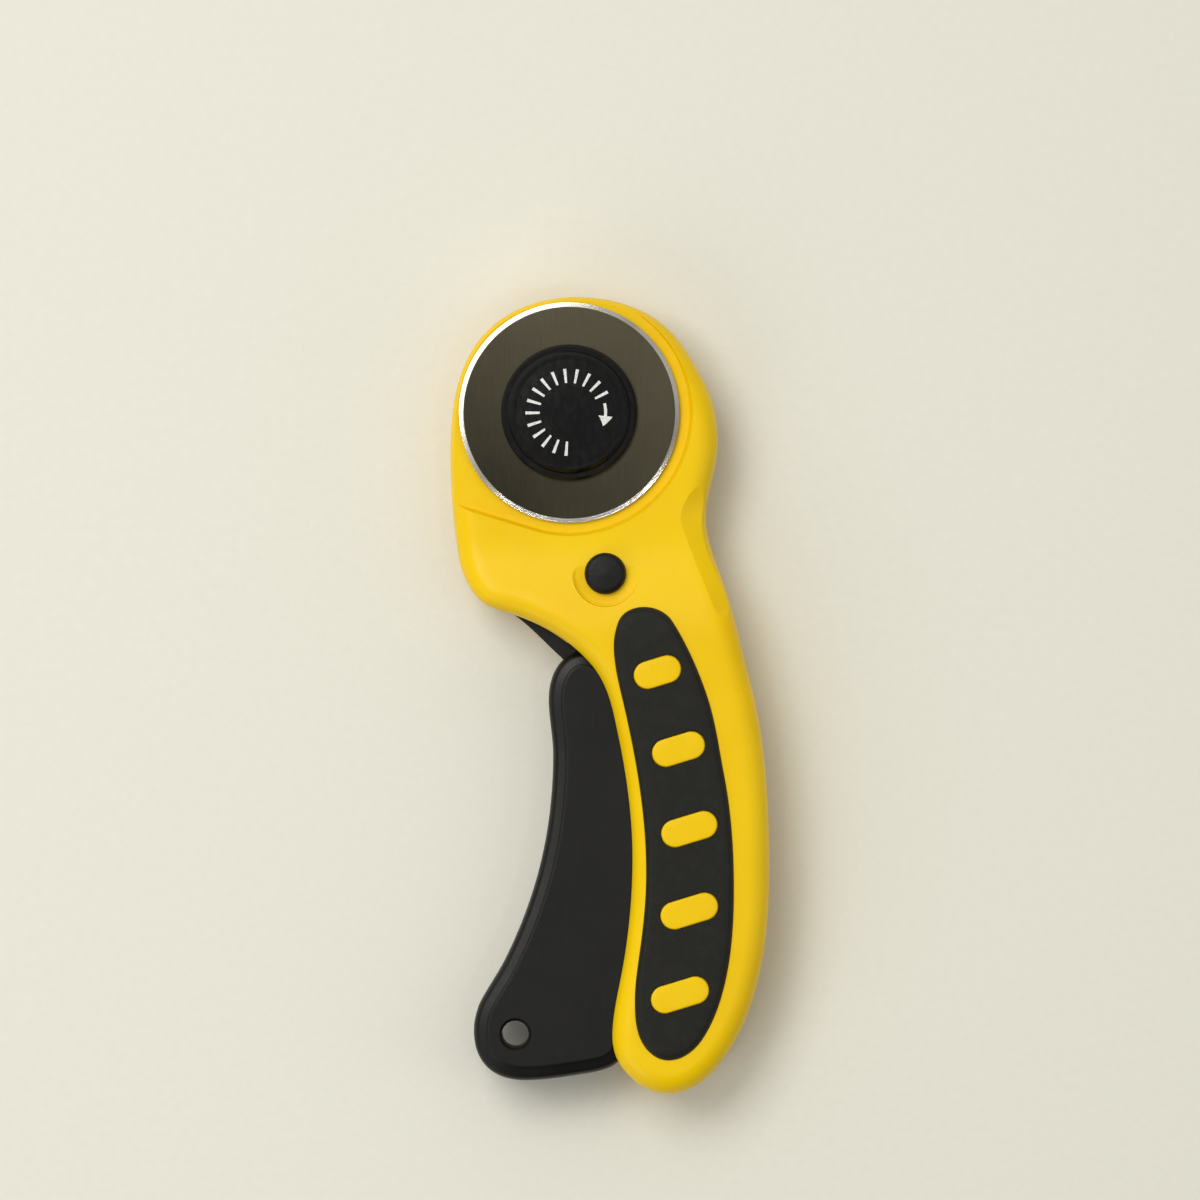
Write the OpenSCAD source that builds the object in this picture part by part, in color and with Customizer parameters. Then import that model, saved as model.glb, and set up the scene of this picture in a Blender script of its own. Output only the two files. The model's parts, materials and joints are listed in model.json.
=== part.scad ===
// Rotary cutter with a squeeze trigger and a self-retracting round blade.
// The cutter lies on its back: +Z is through its thickness, towards the blade side,
// +Y runs along it, from the butt of the handle to the blade, and +X is towards the back of the handle.
// The origin is the middle of its footprint, on the surface that it lies on.
// Outlines are drawn around the blade's axle. Each anchor is [x, y, heading], for a 45 mm blade
// and a 162.9 mm cutter, and place() carries it to the sizes that are set here.

/* [Overall] */
// Length from the top of the head to the butt
overall_length = 162.9; // [140:0.1:200]
// Thickness over the two soft grips
overall_depth = 21; // [19:0.1:26]

/* [Blade] */
// Blade diameter
blade_d = 45; // [37:0.5:60]
// Blade thickness
blade_t = 0.3; // [0.2:0.05:0.5]
// Hole in the blade
blade_bore_d = 8; // [7:0.1:10]
// Width of the ground bevel
bevel_w = 1; // [0.6:0.1:2]

/* [Body] */
// Side wall of the two shells
wall = 2.3; // [1.8:0.1:3]
// Height of the front shell's face over the parting plane, at the head
head_front_h = 6; // [5.4:0.1:8]
// Height of the rear shell's face under the parting plane, at the head
head_rear_h = 5; // [4.2:0.1:5.8]
// Rounding of the outer edges
edge_r = 4.5; // [2:0.1:5]
// Depth of the blade pocket
pocket_depth = 2; // [1:0.1:2.4]
// Gap between the blade's edge and the pocket's wall
pocket_gap = 2.4; // [1.5:0.1:3]
// Gap between the blade's back and the pocket's floor
blade_lift = 0.8; // [0.1:0.1:1.2]
// Depth of the dish around the lock button
dish_depth = 0.4; // [0.2:0.1:1.2]

/* [Grip] */
// How far each grip stands proud of its shell
grip_proud = 1; // [0.5:0.1:1.5]
// Depth of the recess that a grip sits in
grip_recess = 2.4; // [1.2:0.1:2.6]
// Width of the five pads
pad_w = 5.8; // [4:0.1:7]
// Slant of the pads
pad_tilt = 17; // [0:1:30]

/* [Trigger] */
// Thickness of the trigger where fingers pull it
trigger_t = 11.8; // [9:0.1:12]
// Thickness of the arm inside the head
arm_t = 4.4; // [3.6:0.1:4.6]
// Wall of the trigger's channel
trigger_wall = 2.2; // [1.6:0.1:2.8]
// Swing of the trigger, in degrees
trigger_angle = 10; // [6:0.5:10]
// Hole to hang the cutter by
hang_hole_d = 5.5; // [4:0.1:7]
// Pivot pin
pivot_d = 3; // [2:0.1:4]

/* [Axle] */
// Axle bolt
axle_d = 5; // [4:0.1:6]
// Across the flats of the axle bolt's shank
axle_flats = 4.2; // [3.2:0.1:5]
// Cap over the blade
cap_d = 27.8; // [22:0.1:32]
// Thumb nut
nut_d = 17.2; // [14:0.1:20]
// Height left for the wave washer
washer_h = 0.7; // [0.5:0.05:1]

/* [Lock] */
// Lock button
button_d = 8.4; // [7:0.1:9]
// Travel of the lock button
button_travel = 2.5; // [2:0.1:2.6]

/* [Screws] */
// Screw shank
screw_d = 2.4; // [2:0.1:2.8]
// Screw head
screw_head_d = 4.2; // [3.6:0.1:4.8]

/* [Fits] */
// Gap beside a part that swings
swing_gap = 0.2; // [0.15:0.05:0.4]
// Radial clearance of a pin or shaft that turns
run_gap = 0.05; // [0.02:0.01:0.1]
// Clearance of pieces that are fixed in each other
seat_gap = 0.02; // [0.01:0.01:0.05]

/* [Hidden] */
$fn = 64;

// --- colours ---
yellow = [0.95, 0.74, 0.02];
black = [0.1, 0.1, 0.1];
steel = [0.72, 0.72, 0.72];
brass = [0.8, 0.65, 0.3];

// --- curves ---
// How far one heading turns to reach another, from -180 to 180
function turn(a, b) = (b - a) - 360 * round((b - a) / 360);

// A smooth curve from one anchor to the next, without its last point
function stretch(a, b, step) =
    let (
        chord = norm([b.x - a.x, b.y - a.y]),
        reach = chord / (3 * pow(cos(turn(a[2], b[2]) / 4), 2)),
        p = [a.x, a.y],
        q = [b.x, b.y],
        p1 = p + reach * [cos(a[2]), sin(a[2])],
        q1 = q - reach * [cos(b[2]), sin(b[2])],
        n = max(2, round(chord / step))
    )
    [for (i = [0:n - 1]) let (t = i / n, u = 1 - t)
        u * u * u * p + 3 * u * u * t * p1 + 3 * u * t * t * q1 + t * t * t * q];

// A closed curve through anchors, each [x, y, heading], counterclockwise
function closed_curve(anchors, step = 3) =
    [for (i = [0:len(anchors) - 1])
        each stretch(anchors[i], anchors[(i + 1) % len(anchors)], step)];

// The same closed curve, moved inwards by d
function inset(points, d) =
    let (n = len(points))
    [for (i = [0:n - 1])
        let (along = points[(i + 1) % n] - points[(i + n - 1) % n])
        points[i] + d * [-along.y, along.x] / norm(along)];

// Points on an arc about c
function arc(c, r, from, to, n = 12) =
    [for (i = [0:n]) let (a = from + (to - from) * i / n) c + r * [cos(a), sin(a)]];

// Outline of a slot of half width r, along an arc about c from one angle to another
function arc_slot(c, path_r, from, to, r) =
    concat(
        arc(c, path_r + r, from, to),
        arc(c + path_r * [cos(to), sin(to)], r, to, to + 180),
        arc(c, path_r - r, to, from),
        arc(c + path_r * [cos(from), sin(from)], r, from + 180, from + 360)
    );

// --- sizes that follow ---
drawn_blade_d = 45;
drawn_top = 23.7;
drawn_bottom = -139.2;
drawn_left = -24.3;
drawn_right = 40.9;
neck_y = -40;
head_scale = blade_d / drawn_blade_d;
handle_scale = (overall_length - (drawn_top - neck_y) * head_scale) / (neck_y - drawn_bottom);

// Carries a drawn point to the set sizes: the head follows the blade, and the handle takes the rest
function place(p) =
    [p.x * head_scale,
     p.y > neck_y ? p.y * head_scale : neck_y * head_scale + (p.y - neck_y) * handle_scale];
function placed(points) = [for (p = points) place(p)];

origin = (place([drawn_left, drawn_bottom]) + place([drawn_right, drawn_top])) / 2;
z_mid = overall_depth / 2;
handle_h = z_mid - grip_proud;
// Longer than anything that it cuts
far = 200;
// The flat core of a rounded piece starts this share of its rounding in from the outline
core_inset = 0.72;
// How far a piece that is joined to another runs into it
joined = 1;

// Height of a shell's face over the parting plane: low at the head, high at the handle
slope_from = place([0, -26]).y;
slope_to = place([0, -46]).y;
function rise(y) =
    let (t = min(1, max(0, (slope_from - y) / (slope_from - slope_to)))) t * t * (3 - 2 * t);
function face_h(y, head_h) = head_h + (handle_h - head_h) * rise(y);

// --- the body's outline ---
body_anchors = [
    [1.5, 23.7, 180], [-16.8, 16.8, 225], [-24.3, -9, 270], [-22.7, -29, 279], [-18.5, -38.1, 314],
    [-11.4, -41.3, 342], [0.2, -47.5, 321], [6.7, -55, 297], [9.7, -65, 282], [12.8, -91, 270],
    [10.5, -115, 259], [8.7, -127.5, 270], [11.2, -134.5, 311], [20, -139.2, 0], [30.5, -133.4, 51],
    [37.5, -120, 73], [40.9, -94, 90], [37, -55, 105], [31.6, -35, 109], [28, -21.5, 90],
    [30.4, -6, 90], [27.3, 6.9, 119], [20, 17.4, 138]
];
body_outline = placed(closed_curve(body_anchors));

grip_anchors = [
    [15.3, -39.7, 180], [10, -42.8, 250], [9.1, -47.5, 270], [11.2, -60, 283], [15.7, -94, 270],
    [14.4, -110, 262], [13.4, -120, 270], [15.8, -129.9, 310], [20.2, -132.2, 0], [27.5, -127.4, 58],
    [31.6, -117.2, 76], [33.6, -97, 90], [31.6, -73.9, 101], [28, -57.4, 109], [21.2, -42.8, 122]
];
grip_outline = placed(closed_curve(grip_anchors));

// Each pad's middle and length
pads = [[18, -53, 10], [22.3, -68.7, 11.2], [24.5, -85, 11.9], [24.5, -101.7, 12.2], [22.6, -118.8, 12.3]];

// --- the trigger's outline ---
// open moves its hidden inner edge into the handle, for the cut that hollows it
function trigger_anchors(open = 0) = [
    [1.5, -49, 195], [-4.2, -58.5, 270], [-3.3, -70, 270], [-7.2, -97, 253], [-12.9, -111.4, 244],
    [-17.9, -120, 241], [-19.5, -126.5, 270], [-16.8, -133.8, 315], [-9, -136.5, 0], [3.6, -135.1, 9],
    [11 + open, -131.5, 60], [14.2 + open, -118, 84], [17.3 + open, -95, 90], [15.2 + open, -74, 100],
    [10.5 + open, -56, 113], [6.5 + open, -50, 150]
];
trigger_outline = placed(closed_curve(trigger_anchors()));
channel_outline = inset(placed(closed_curve(trigger_anchors(8))), trigger_wall);
trigger_h = trigger_t / 2;
trigger_edge_r = 3;

arm_anchors = [
    [0, 8, 180], [-8, 0, 270], [-14, -24, 264], [-15, -34.5, 273], [-11.2, -41.4, 325],
    [-1.8, -49.9, 318], [3, -55, 320], [9, -54, 60], [14.6, -38, 85], [14, -24, 97], [8, 0, 90]
];
arm_outline = placed(closed_curve(arm_anchors));
arm_h = arm_t / 2;
ribs_at = [-58, -72, -106, -118];
rib_t = 1.6;
hang_wall = 2.4;

// Where the trigger enters the handle, and where its arm enters the head
mouth = placed([
    [-30, -47.5], [-1, -47.5], [1.5, -45.6], [9, -45.6], [16, -50], [16, -128], [13.4, -134], [13.4, -150],
    [-30, -150]
]);
arm_mouth = placed([[-30, -52], [-17, -44], [-15.7, -36], [-8, -34], [4, -40], [8, -50], [4, -56]]);

// --- places on the body ---
axle = [0, 0];
pivot = place([-10.5, -34.5]);
button = place([7.4, -32.9]);
hang_hole = place([-11, -127]);
axle_r_path = norm(axle - pivot);
axle_angle = atan2(axle.y - pivot.y, axle.x - pivot.x);
button_r_path = norm(button - pivot);
button_angle = atan2(button.y - pivot.y, button.x - pivot.x);
// The blade leaves its pocket square to the line from the pivot
leaving = axle_angle + 90;

// What a round piece of radius r on the axle or on the lock sweeps as the trigger swings
function axle_slot(r) = arc_slot(pivot, axle_r_path, axle_angle, axle_angle + trigger_angle, r);
function lock_slot(r) = arc_slot(pivot, button_r_path, button_angle - trigger_angle, button_angle, r);

// --- heights over the parting plane ---
arm_room = arm_h + swing_gap;
trigger_room = trigger_h + swing_gap;
recess_floor = handle_h - grip_recess;
pocket_floor = head_front_h - pocket_depth;
nut_gap = 0.1;
blade_play = 0.05;
front_boss_top = pocket_floor + blade_lift - blade_play;
rear_boss_end = head_rear_h + nut_gap;
blade_low = front_boss_top + blade_play;
cap_low = blade_low + blade_t + blade_play;
nut_top = rear_boss_end + washer_h;
nut_h = z_mid - nut_top;

// --- the axle's pieces ---
pocket_r = blade_d / 2 + pocket_gap;
front_boss_r = 5.5;
rear_boss_r = 4.8;
slot_gap = 0.4;
hub_r = blade_bore_d / 2 - run_gap;
flange_h = 1.4;
cap_rise = 1.4;
cover_r = 10.9;
cover_t = 0.8;
cap_rim = 1.4;
bolt_head_r = 4.2;
bolt_head_h = 1.3;
insert_flats = 8;
insert_h = 3.4;
edge_flat = 0.04;
bolt_end_gap = 0.8;
nut_bore_gap = 0.7;
nut_flutes = 18;
cap_top = cap_low + flange_h + cap_rise;
bolt_head_top = cap_top - cover_t;

// --- the pivot pin, blind at both ends ---
pin_front_cover = 1.5;
pin_rear_cover = 1;
pin_end_gap = 0.1;

// --- the lock ---
button_rise = 1.6;
button_round = 1.2;
button_crown = 0.25;
lock_web_h = arm_h - 1;
button_shoulder = lock_web_h + 0.1 + button_travel;
waist_r = 2.5;
guide_r = 3.4;
fin_w = 1.4;
fin_reach = button_d / 2 + 0.4;
fin_low = lock_web_h + 0.15;
fin_top = button_shoulder - 0.1;
notch_gap = 0.1;
notch_end_gap = 0.3;
dish_margin = 2.5;
button_face = face_h(button.y, head_front_h);
button_rear_face = face_h(button.y, head_rear_h);
clip_wire_r = 0.4;
clip_side = waist_r + 0.12;
clip_reach = 8;
clip_h = (lock_web_h + arm_room) / 2 + 0.05;
clip_groove = 0.1;
clip_room_from = [-2, -9];
clip_room = [clip_reach + 10, 14];
lock_room_r = 7;

// --- the spring ---
spring_r = 3.1;
spring_wire_r = 0.4;
spring_turns = 8;
spring_l = 20;
spring_start = place([13.5, -91]);
spring_angle = atan2(spring_start.y - pivot.y, spring_start.x - pivot.x) + 90;
spring_end = spring_start + spring_l * [cos(spring_angle), sin(spring_angle)];
seat_r = 4.4;
peg_r = 1.9;
peg_l = 2.6;

// --- screws: name, place, and whether the handle's longer screw is used ---
screws = [
    ["screw_top", place([-13.3, 13.9]), false], ["screw_side", place([-19, -25]), false],
    ["screw_neck", place([24.3, -27]), false], ["screw_upper", place([34.7, -66]), true],
    ["screw_lower", place([36.6, -104]), true], ["screw_butt", place([30.9, -127.5]), true]
];
screw_boss_r = 2.7;
screw_head_h = 1.6;
screw_end_gap = 0.3;
screw_hole_gap = 0.1;
screw_well_gap = 0.2;
short_screw = 5.4;
short_sink = 2.6;
long_screw = 9;
long_sink = 5;
function screw_seat(s) = s[2] ? handle_h - long_sink : head_rear_h - short_sink;
function screw_tip(s) = (s[2] ? long_screw : short_screw) - screw_seat(s);

// --- helpers ---
module in_frame() translate([-origin.x, -origin.y, z_mid]) children();
module under() mirror([0, 0, 1]) children();
module slab(points, from, to) translate([0, 0, from]) linear_extrude(to - from) polygon(points);
module at(p, z = 0) translate([p.x, p.y, z]) children();

// A closed band along the inside of an outline, with its outer edge rounded.
// top gives the height at each point of the outline.
module rounded_band(points, r, top) {
    steps = 4;
    last = 78;
    width = r + 0.8;
    n = len(points);
    m = steps + 4;
    depths = concat([width, 0], [for (k = [0:steps]) r * (1 - cos(last * k / steps))], [width]);
    rings = [for (d = depths) inset(points, d)];
    function level(j, i) =
        j < 2 ? 0
        : j < m - 1 ? top[i] - r + r * sin(last * (j - 2) / steps)
        : top[i] - r + r * sin(last);
    polyhedron(
        points = [for (i = [0:n - 1]) for (j = [0:m - 1]) [rings[j][i].x, rings[j][i].y, level(j, i)]],
        faces = [for (i = [0:n - 1]) for (j = [0:m - 1])
            let (a = i * m + j, b = i * m + (j + 1) % m, c = ((i + 1) % n) * m + j,
                 d = ((i + 1) % n) * m + (j + 1) % m)
            each [[a, d, c], [a, b, d]]],
        convexity = 6
    );
}

// Everything under a face whose height changes along Y, over the parting plane
module under_face(head_h, extra = 0) {
    steps = 10;
    ys = concat([far], [for (k = [0:steps]) slope_from + (slope_to - slope_from) * k / steps], [-far]);
    translate([-far / 2, 0, 0]) rotate([90, 0, 90]) linear_extrude(far)
        polygon(concat([for (y = ys) [y, face_h(y, head_h) + extra]], [[-far, 0], [far, 0]]));
}

// --- shells ---
// A shell before anything is cut from it
module half_body(head_h) {
    rounded_band(body_outline, edge_r, [for (p = body_outline) face_h(p.y, head_h)]);
    intersection() {
        slab(inset(body_outline, edge_r * core_inset), 0, handle_h + 1);
        under_face(head_h);
    }
}

// The room for the trigger and its arm
module hollow() {
    inner = inset(body_outline, wall);
    slab(inner, -1, arm_room);
    slab(arm_mouth, -1, arm_room);
    intersection() {
        slab(inner, -1, trigger_room);
        translate([-far / 2, slope_to - far + 0.4, -1]) cube([far, far, far]);
    }
    slab(mouth, -1, trigger_room);
}

// What is left standing in that room: the posts of the screws, and the spring's seat
module bosses() {
    for (s = screws) at(s[1], -2) cylinder(r = screw_boss_r, h = handle_h + 1);
    at(spring_end) rotate([0, 90, spring_angle]) cylinder(r = seat_r, h = spring_l);
}

// One pad of the shell that shows through a window in the grip
module pad(p, from, to) {
    run = (p[2] - pad_w) / 2;
    at(place(p), from) rotate(pad_tilt) {
        translate([-run, -pad_w / 2, 0]) cube([2 * run, pad_w, to - from]);
        for (side = [-1, 1]) translate([side * run, 0, 0]) cylinder(d = pad_w, h = to - from);
    }
}

module pads_on(head_h) intersection() {
    for (p = pads) pad(p, recess_floor - 0.2, handle_h + grip_proud);
    under_face(head_h, grip_proud - 0.15);
}

module half_shell(head_h) difference() {
    half_body(head_h);
    difference() {
        hollow();
        bosses();
    }
    slab(grip_outline, recess_floor, handle_h + 2);
}

// The half of the spring's peg that each shell carries
module half_peg() intersection() {
    at(spring_end) rotate([0, -90, spring_angle]) translate([0, 0, -joined])
        cylinder(r = peg_r, h = peg_l + joined);
    translate([-far / 2, -far / 2, 0]) cube(far);
}

// Round the blade, and open to the side where the blade comes out
pocket_outline = concat(
    [for (side = [-1, 1]) axle + far * [cos(leaving), sin(leaving)]
        + side * pocket_r * [cos(leaving + 90), sin(leaving + 90)]],
    arc(axle, pocket_r, leaving - 270, leaving - 90, 40)
);

module front_shell() color(yellow) {
    difference() {
        half_shell(head_front_h);
        slab(pocket_outline, pocket_floor, far);
        slab(axle_slot(front_boss_r + slot_gap), -1, far);
        at(pivot) cylinder(d = pivot_d + 2 * seat_gap, h = head_front_h - pin_front_cover);
        at(button) cylinder(d = button_d + 2 * run_gap, h = far);
        at(button) cylinder(r = fin_reach + 0.4, h = button_shoulder);
        at(button, button_face - dish_depth) cylinder(d = button_d + 2 * dish_margin, h = far);
        for (s = screws) at(s[1]) cylinder(d = screw_d + 2 * seat_gap, h = screw_tip(s) + screw_end_gap);
    }
    pads_on(head_front_h);
    half_peg();
}

module rear_shell() color(yellow) under() {
    difference() {
        half_shell(head_rear_h);
        slab(axle_slot(rear_boss_r + slot_gap), -1, far);
        at(pivot) cylinder(d = pivot_d + 2 * seat_gap, h = head_rear_h - pin_rear_cover);
        at(button) cylinder(r = guide_r + run_gap, h = far);
        for (s = screws) {
            at(s[1], -1) cylinder(d = screw_d + 2 * screw_hole_gap, h = far);
            at(s[1], screw_seat(s)) cylinder(d = screw_head_d + 2 * screw_well_gap, h = far);
        }
    }
    pads_on(head_rear_h);
    half_peg();
    // the post that the lock's clip hooks round
    at(button + clip_reach * [cos(button_angle), sin(button_angle)], lock_web_h + 0.15)
        cylinder(r = clip_side - clip_wire_r - 0.1, h = arm_room - lock_web_h);
}

// --- grips ---
module half_grip(head_h) {
    soft_r = 1.1;
    base = recess_floor;
    difference() {
        intersection() {
            union() {
                slab(inset(grip_outline, soft_r * core_inset), base, far);
                at([0, 0], base) rounded_band(grip_outline, soft_r,
                    [for (p = grip_outline) face_h(p.y, head_h) + grip_proud - base]);
            }
            under_face(head_h, grip_proud);
        }
        for (p = pads) pad(p, base - 1, far);
    }
}
module front_grip() color(black) half_grip(head_front_h);
module rear_grip() color(black) under() half_grip(head_rear_h);

// --- trigger ---
module trigger_half() {
    rounded_band(trigger_outline, trigger_edge_r, [for (p = trigger_outline) trigger_h]);
    slab(inset(trigger_outline, trigger_edge_r * core_inset), 0, trigger_h);
}

// The trigger's hollow, less its ribs, the wall of the hanging hole and the spring's seat
module channel() difference() {
    slab(channel_outline, trigger_wall - trigger_h, trigger_h - trigger_wall);
    for (y = ribs_at) translate([-far / 2, place([0, y]).y, -far / 2]) cube([far, rib_t, far]);
    at(hang_hole, -far / 2) cylinder(r = hang_hole_d / 2 + hang_wall, h = far);
    at(spring_start) rotate([0, -90, spring_angle]) cylinder(r = seat_r, h = 30);
}

module trigger_lever() color(black) {
    difference() {
        union() {
            difference() {
                union() {
                    trigger_half();
                    under() trigger_half();
                }
                channel();
            }
            slab(arm_outline, -arm_h, arm_h);
            at(axle, -rear_boss_end) cylinder(r = rear_boss_r, h = rear_boss_end);
            at(axle) cylinder(r = front_boss_r, h = front_boss_top);
        }
        at(pivot, -far / 2) cylinder(r = pivot_d / 2 + run_gap, h = far);
        at(hang_hole, -far / 2) cylinder(d = hang_hole_d, h = far);
        at(axle) flatted_shank(-far / 2, far / 2, seat_gap);
        lock_notches();
        lock_room();
        under() lock_room();
    }
    at(spring_start) rotate([0, 90, spring_angle]) translate([0, 0, -joined])
        cylinder(r = peg_r, h = peg_l + joined);
}

// The curved slot that the button's waist runs in, and a pair of notches for its fins at each end of the swing
module lock_notches() {
    slab(lock_slot(waist_r + swing_gap), -far / 2, far / 2);
    for (a = [button_angle - trigger_angle, button_angle]) at(pivot) rotate(a)
        translate([button_r_path - fin_reach - notch_end_gap, -fin_w / 2 - notch_gap, -far / 2])
            cube([2 * (fin_reach + notch_end_gap), fin_w + 2 * notch_gap, far]);
}

// On each side of the arm's thin web, the room where the fins and the clip travel
module lock_room() {
    slab(lock_slot(lock_room_r), lock_web_h, far);
    at(pivot) rotate(button_angle)
        translate([button_r_path + clip_room_from.x, clip_room_from.y, lock_web_h])
            cube([clip_room.x, clip_room.y, arm_h + 1]);
}

// A round shank with two flats
module flatted_shank(from, to, gap = 0) intersection() {
    translate([0, 0, from]) cylinder(d = axle_d + 2 * gap, h = to - from);
    translate([-axle_d, -axle_flats / 2 - gap, from]) cube([2 * axle_d, axle_flats + 2 * gap, to - from]);
}

// --- axle pieces ---
// Flats hold the bolt in the trigger; its head is sunk in the cap, and its thread takes the thumb nut
module axle_bolt() color(steel) at(axle) {
    flatted_shank(-nut_top, bolt_head_top - 0.2);
    translate([0, 0, bolt_end_gap - z_mid]) cylinder(d = axle_d, h = nut_h - bolt_end_gap + 0.01);
    translate([0, 0, bolt_head_top - bolt_head_h]) cylinder(r = bolt_head_r, h = bolt_head_h - seat_gap);
}

// Holds the blade down by its flange, with a hub for the blade to turn on
module blade_cap() color(black) at(axle) {
    difference() {
        union() {
            translate([0, 0, front_boss_top + seat_gap]) cylinder(r = hub_r, h = cap_low - front_boss_top);
            rotate_extrude() polygon([
                [0, cap_low], [cap_d / 2 - 0.3, cap_low], [cap_d / 2, cap_low + 0.3],
                [cap_d / 2, cap_low + flange_h - 0.5], [cap_d / 2 - 0.5, cap_low + flange_h],
                [cap_d / 2 - cap_rim, cap_low + flange_h], [cap_d / 2 - cap_rim - 0.2, cap_top - 0.6],
                [cap_d / 2 - cap_rim - 0.8, cap_top], [0, cap_top]
            ]);
        }
        flatted_shank(0, far, seat_gap);
        translate([0, 0, bolt_head_top - bolt_head_h - seat_gap])
            cylinder(r = bolt_head_r + seat_gap, h = far);
        translate([0, 0, cap_top - cover_t]) cylinder(r = cover_r + seat_gap, h = far);
    }
}

module cap_cover() color(black) at(axle, cap_top - cover_t + seat_gap) rotate_extrude()
    polygon(concat([[0, 0], [cover_r, 0], [cover_r, cover_t - 0.2]],
        [for (k = [1:6]) [cover_r * (1 - k / 6), cover_t - 0.2 + 0.35 * (1 - pow(1 - k / 6, 2))]]));

module wave_washer() color(steel) {
    n = 48;
    t = 0.25;
    swell = (washer_h - t) / 2 - seat_gap;
    rims = [axle_d / 2 + 0.3, 6.8];
    corners = [[rims[0], 0], [rims[1], 0], [rims[1], t], [rims[0], t]];
    at(axle, -nut_top + seat_gap) polyhedron(
        points = [for (i = [0:n - 1]) let (a = 360 * i / n) for (c = corners)
            [c.x * cos(a), c.x * sin(a), c.y + swell * (1 + cos(3 * a))]],
        faces = [for (i = [0:n - 1]) for (j = [0:3])
            let (a = i * 4 + j, b = i * 4 + (j + 1) % 4, c = ((i + 1) % n) * 4 + j,
                 d = ((i + 1) % n) * 4 + (j + 1) % 4)
            each [[a, d, c], [a, b, d]]]
    );
}

// The fluted thumb nut, with a pocket for its brass insert
module axle_nut() color(black) at(axle, -z_mid) difference() {
    rotate_extrude() polygon([[0, 0], [nut_d / 2 - 1, 0], [nut_d / 2, 1], [nut_d / 2, nut_h - 0.5],
        [nut_d / 2 - 0.5, nut_h], [0, nut_h]]);
    for (k = [1:nut_flutes]) rotate(360 * k / nut_flutes) translate([nut_d / 2 + 0.5, 0, -1])
        cylinder(r = 1, h = nut_h + 2, $fn = 24);
    translate([0, 0, -1]) cylinder(d = axle_d + 2 * nut_bore_gap, h = far);
    translate([0, 0, nut_h - insert_h - seat_gap])
        cylinder(d = (insert_flats + 2 * seat_gap) / cos(30), h = far, $fn = 6);
}

module nut_insert() color(brass) at(axle, -nut_top - insert_h) difference() {
    cylinder(d = insert_flats / cos(30), h = insert_h, $fn = 6);
    translate([0, 0, -1]) cylinder(d = axle_d + 2 * seat_gap, h = far);
}

// A ring with a bevel ground on both sides
module blade() color(steel) at(axle, blade_low) difference() {
    rotate_extrude() polygon([
        [0, 0], [blade_d / 2 - bevel_w, 0], [blade_d / 2, (blade_t - edge_flat) / 2],
        [blade_d / 2, (blade_t + edge_flat) / 2], [blade_d / 2 - bevel_w, blade_t], [0, blade_t]
    ]);
    translate([0, 0, -1]) cylinder(d = blade_bore_d, h = 3);
}

// --- handle's small pieces ---
module pivot_pin() color(steel) {
    low = pin_rear_cover + pin_end_gap - head_rear_h;
    high = head_front_h - pin_front_cover - pin_end_gap;
    at(pivot, low) cylinder(d = pivot_d, h = high - low);
}

// A pan-head screw with a cross slot, driven from behind
module screw(s) {
    seat = -screw_seat(s);
    slot_l = screw_head_d * 0.62;
    slot_w = 0.6;
    slot_depth = 0.9;
    color(steel) at(s[1]) difference() {
        union() {
            translate([0, 0, seat]) cylinder(d = screw_d, h = screw_tip(s) - seat);
            translate([0, 0, seat - screw_head_h])
                cylinder(d1 = screw_head_d - 0.8, d2 = screw_head_d, h = screw_head_h);
        }
        for (a = [0, 90]) rotate(a) translate([-slot_l / 2, -slot_w / 2, seat - screw_head_h - 1])
            cube([slot_l, slot_w, slot_depth + 1]);
    }
}

// A coil of round wire along +X from the spring's start, in its own frame
module return_spring() {
    around = 14;
    sides = 6;
    rows = spring_turns * around;
    usable = spring_l - 2 * spring_wire_r - 0.2;
    function coil(i) = let (t = i / rows, a = 360 * spring_turns * t)
        [spring_wire_r + 0.1 + usable * t, spring_r * cos(a), spring_r * sin(a)];
    function ring(i) = let (
            c = coil(i),
            a = 360 * spring_turns * i / rows,
            out = [0, cos(a), sin(a)],
            along = [1, 0, 0]
        )
        [for (k = [0:sides - 1]) let (b = 360 * k / sides)
            c + spring_wire_r * (cos(b) * out + sin(b) * along)];
    color(steel) at(spring_start) rotate(spring_angle) polyhedron(
        points = [for (i = [0:rows]) each ring(i)],
        faces = concat(
            [[for (k = [0:sides - 1]) sides - 1 - k]],
            [[for (k = [0:sides - 1]) rows * sides + k]],
            [for (i = [0:rows - 1]) for (k = [0:sides - 1])
                let (a = i * sides + k, b = i * sides + (k + 1) % sides)
                each [[a, b + sides, a + sides], [a, b, b + sides]]]
        ),
        convexity = 10
    );
}

// A hairpin of wire that snaps into the button's two grooves
module button_clip() color(steel) at(button, -clip_h) rotate(button_angle) {
    for (side = [-1, 1]) translate([-3, side * clip_side, 0]) rotate([0, 90, 0])
        cylinder(r = clip_wire_r, h = clip_reach + 3);
    translate([clip_reach, 0, 0]) rotate(-90) rotate_extrude(angle = 180)
        translate([clip_side, 0]) circle(r = clip_wire_r);
}

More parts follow.
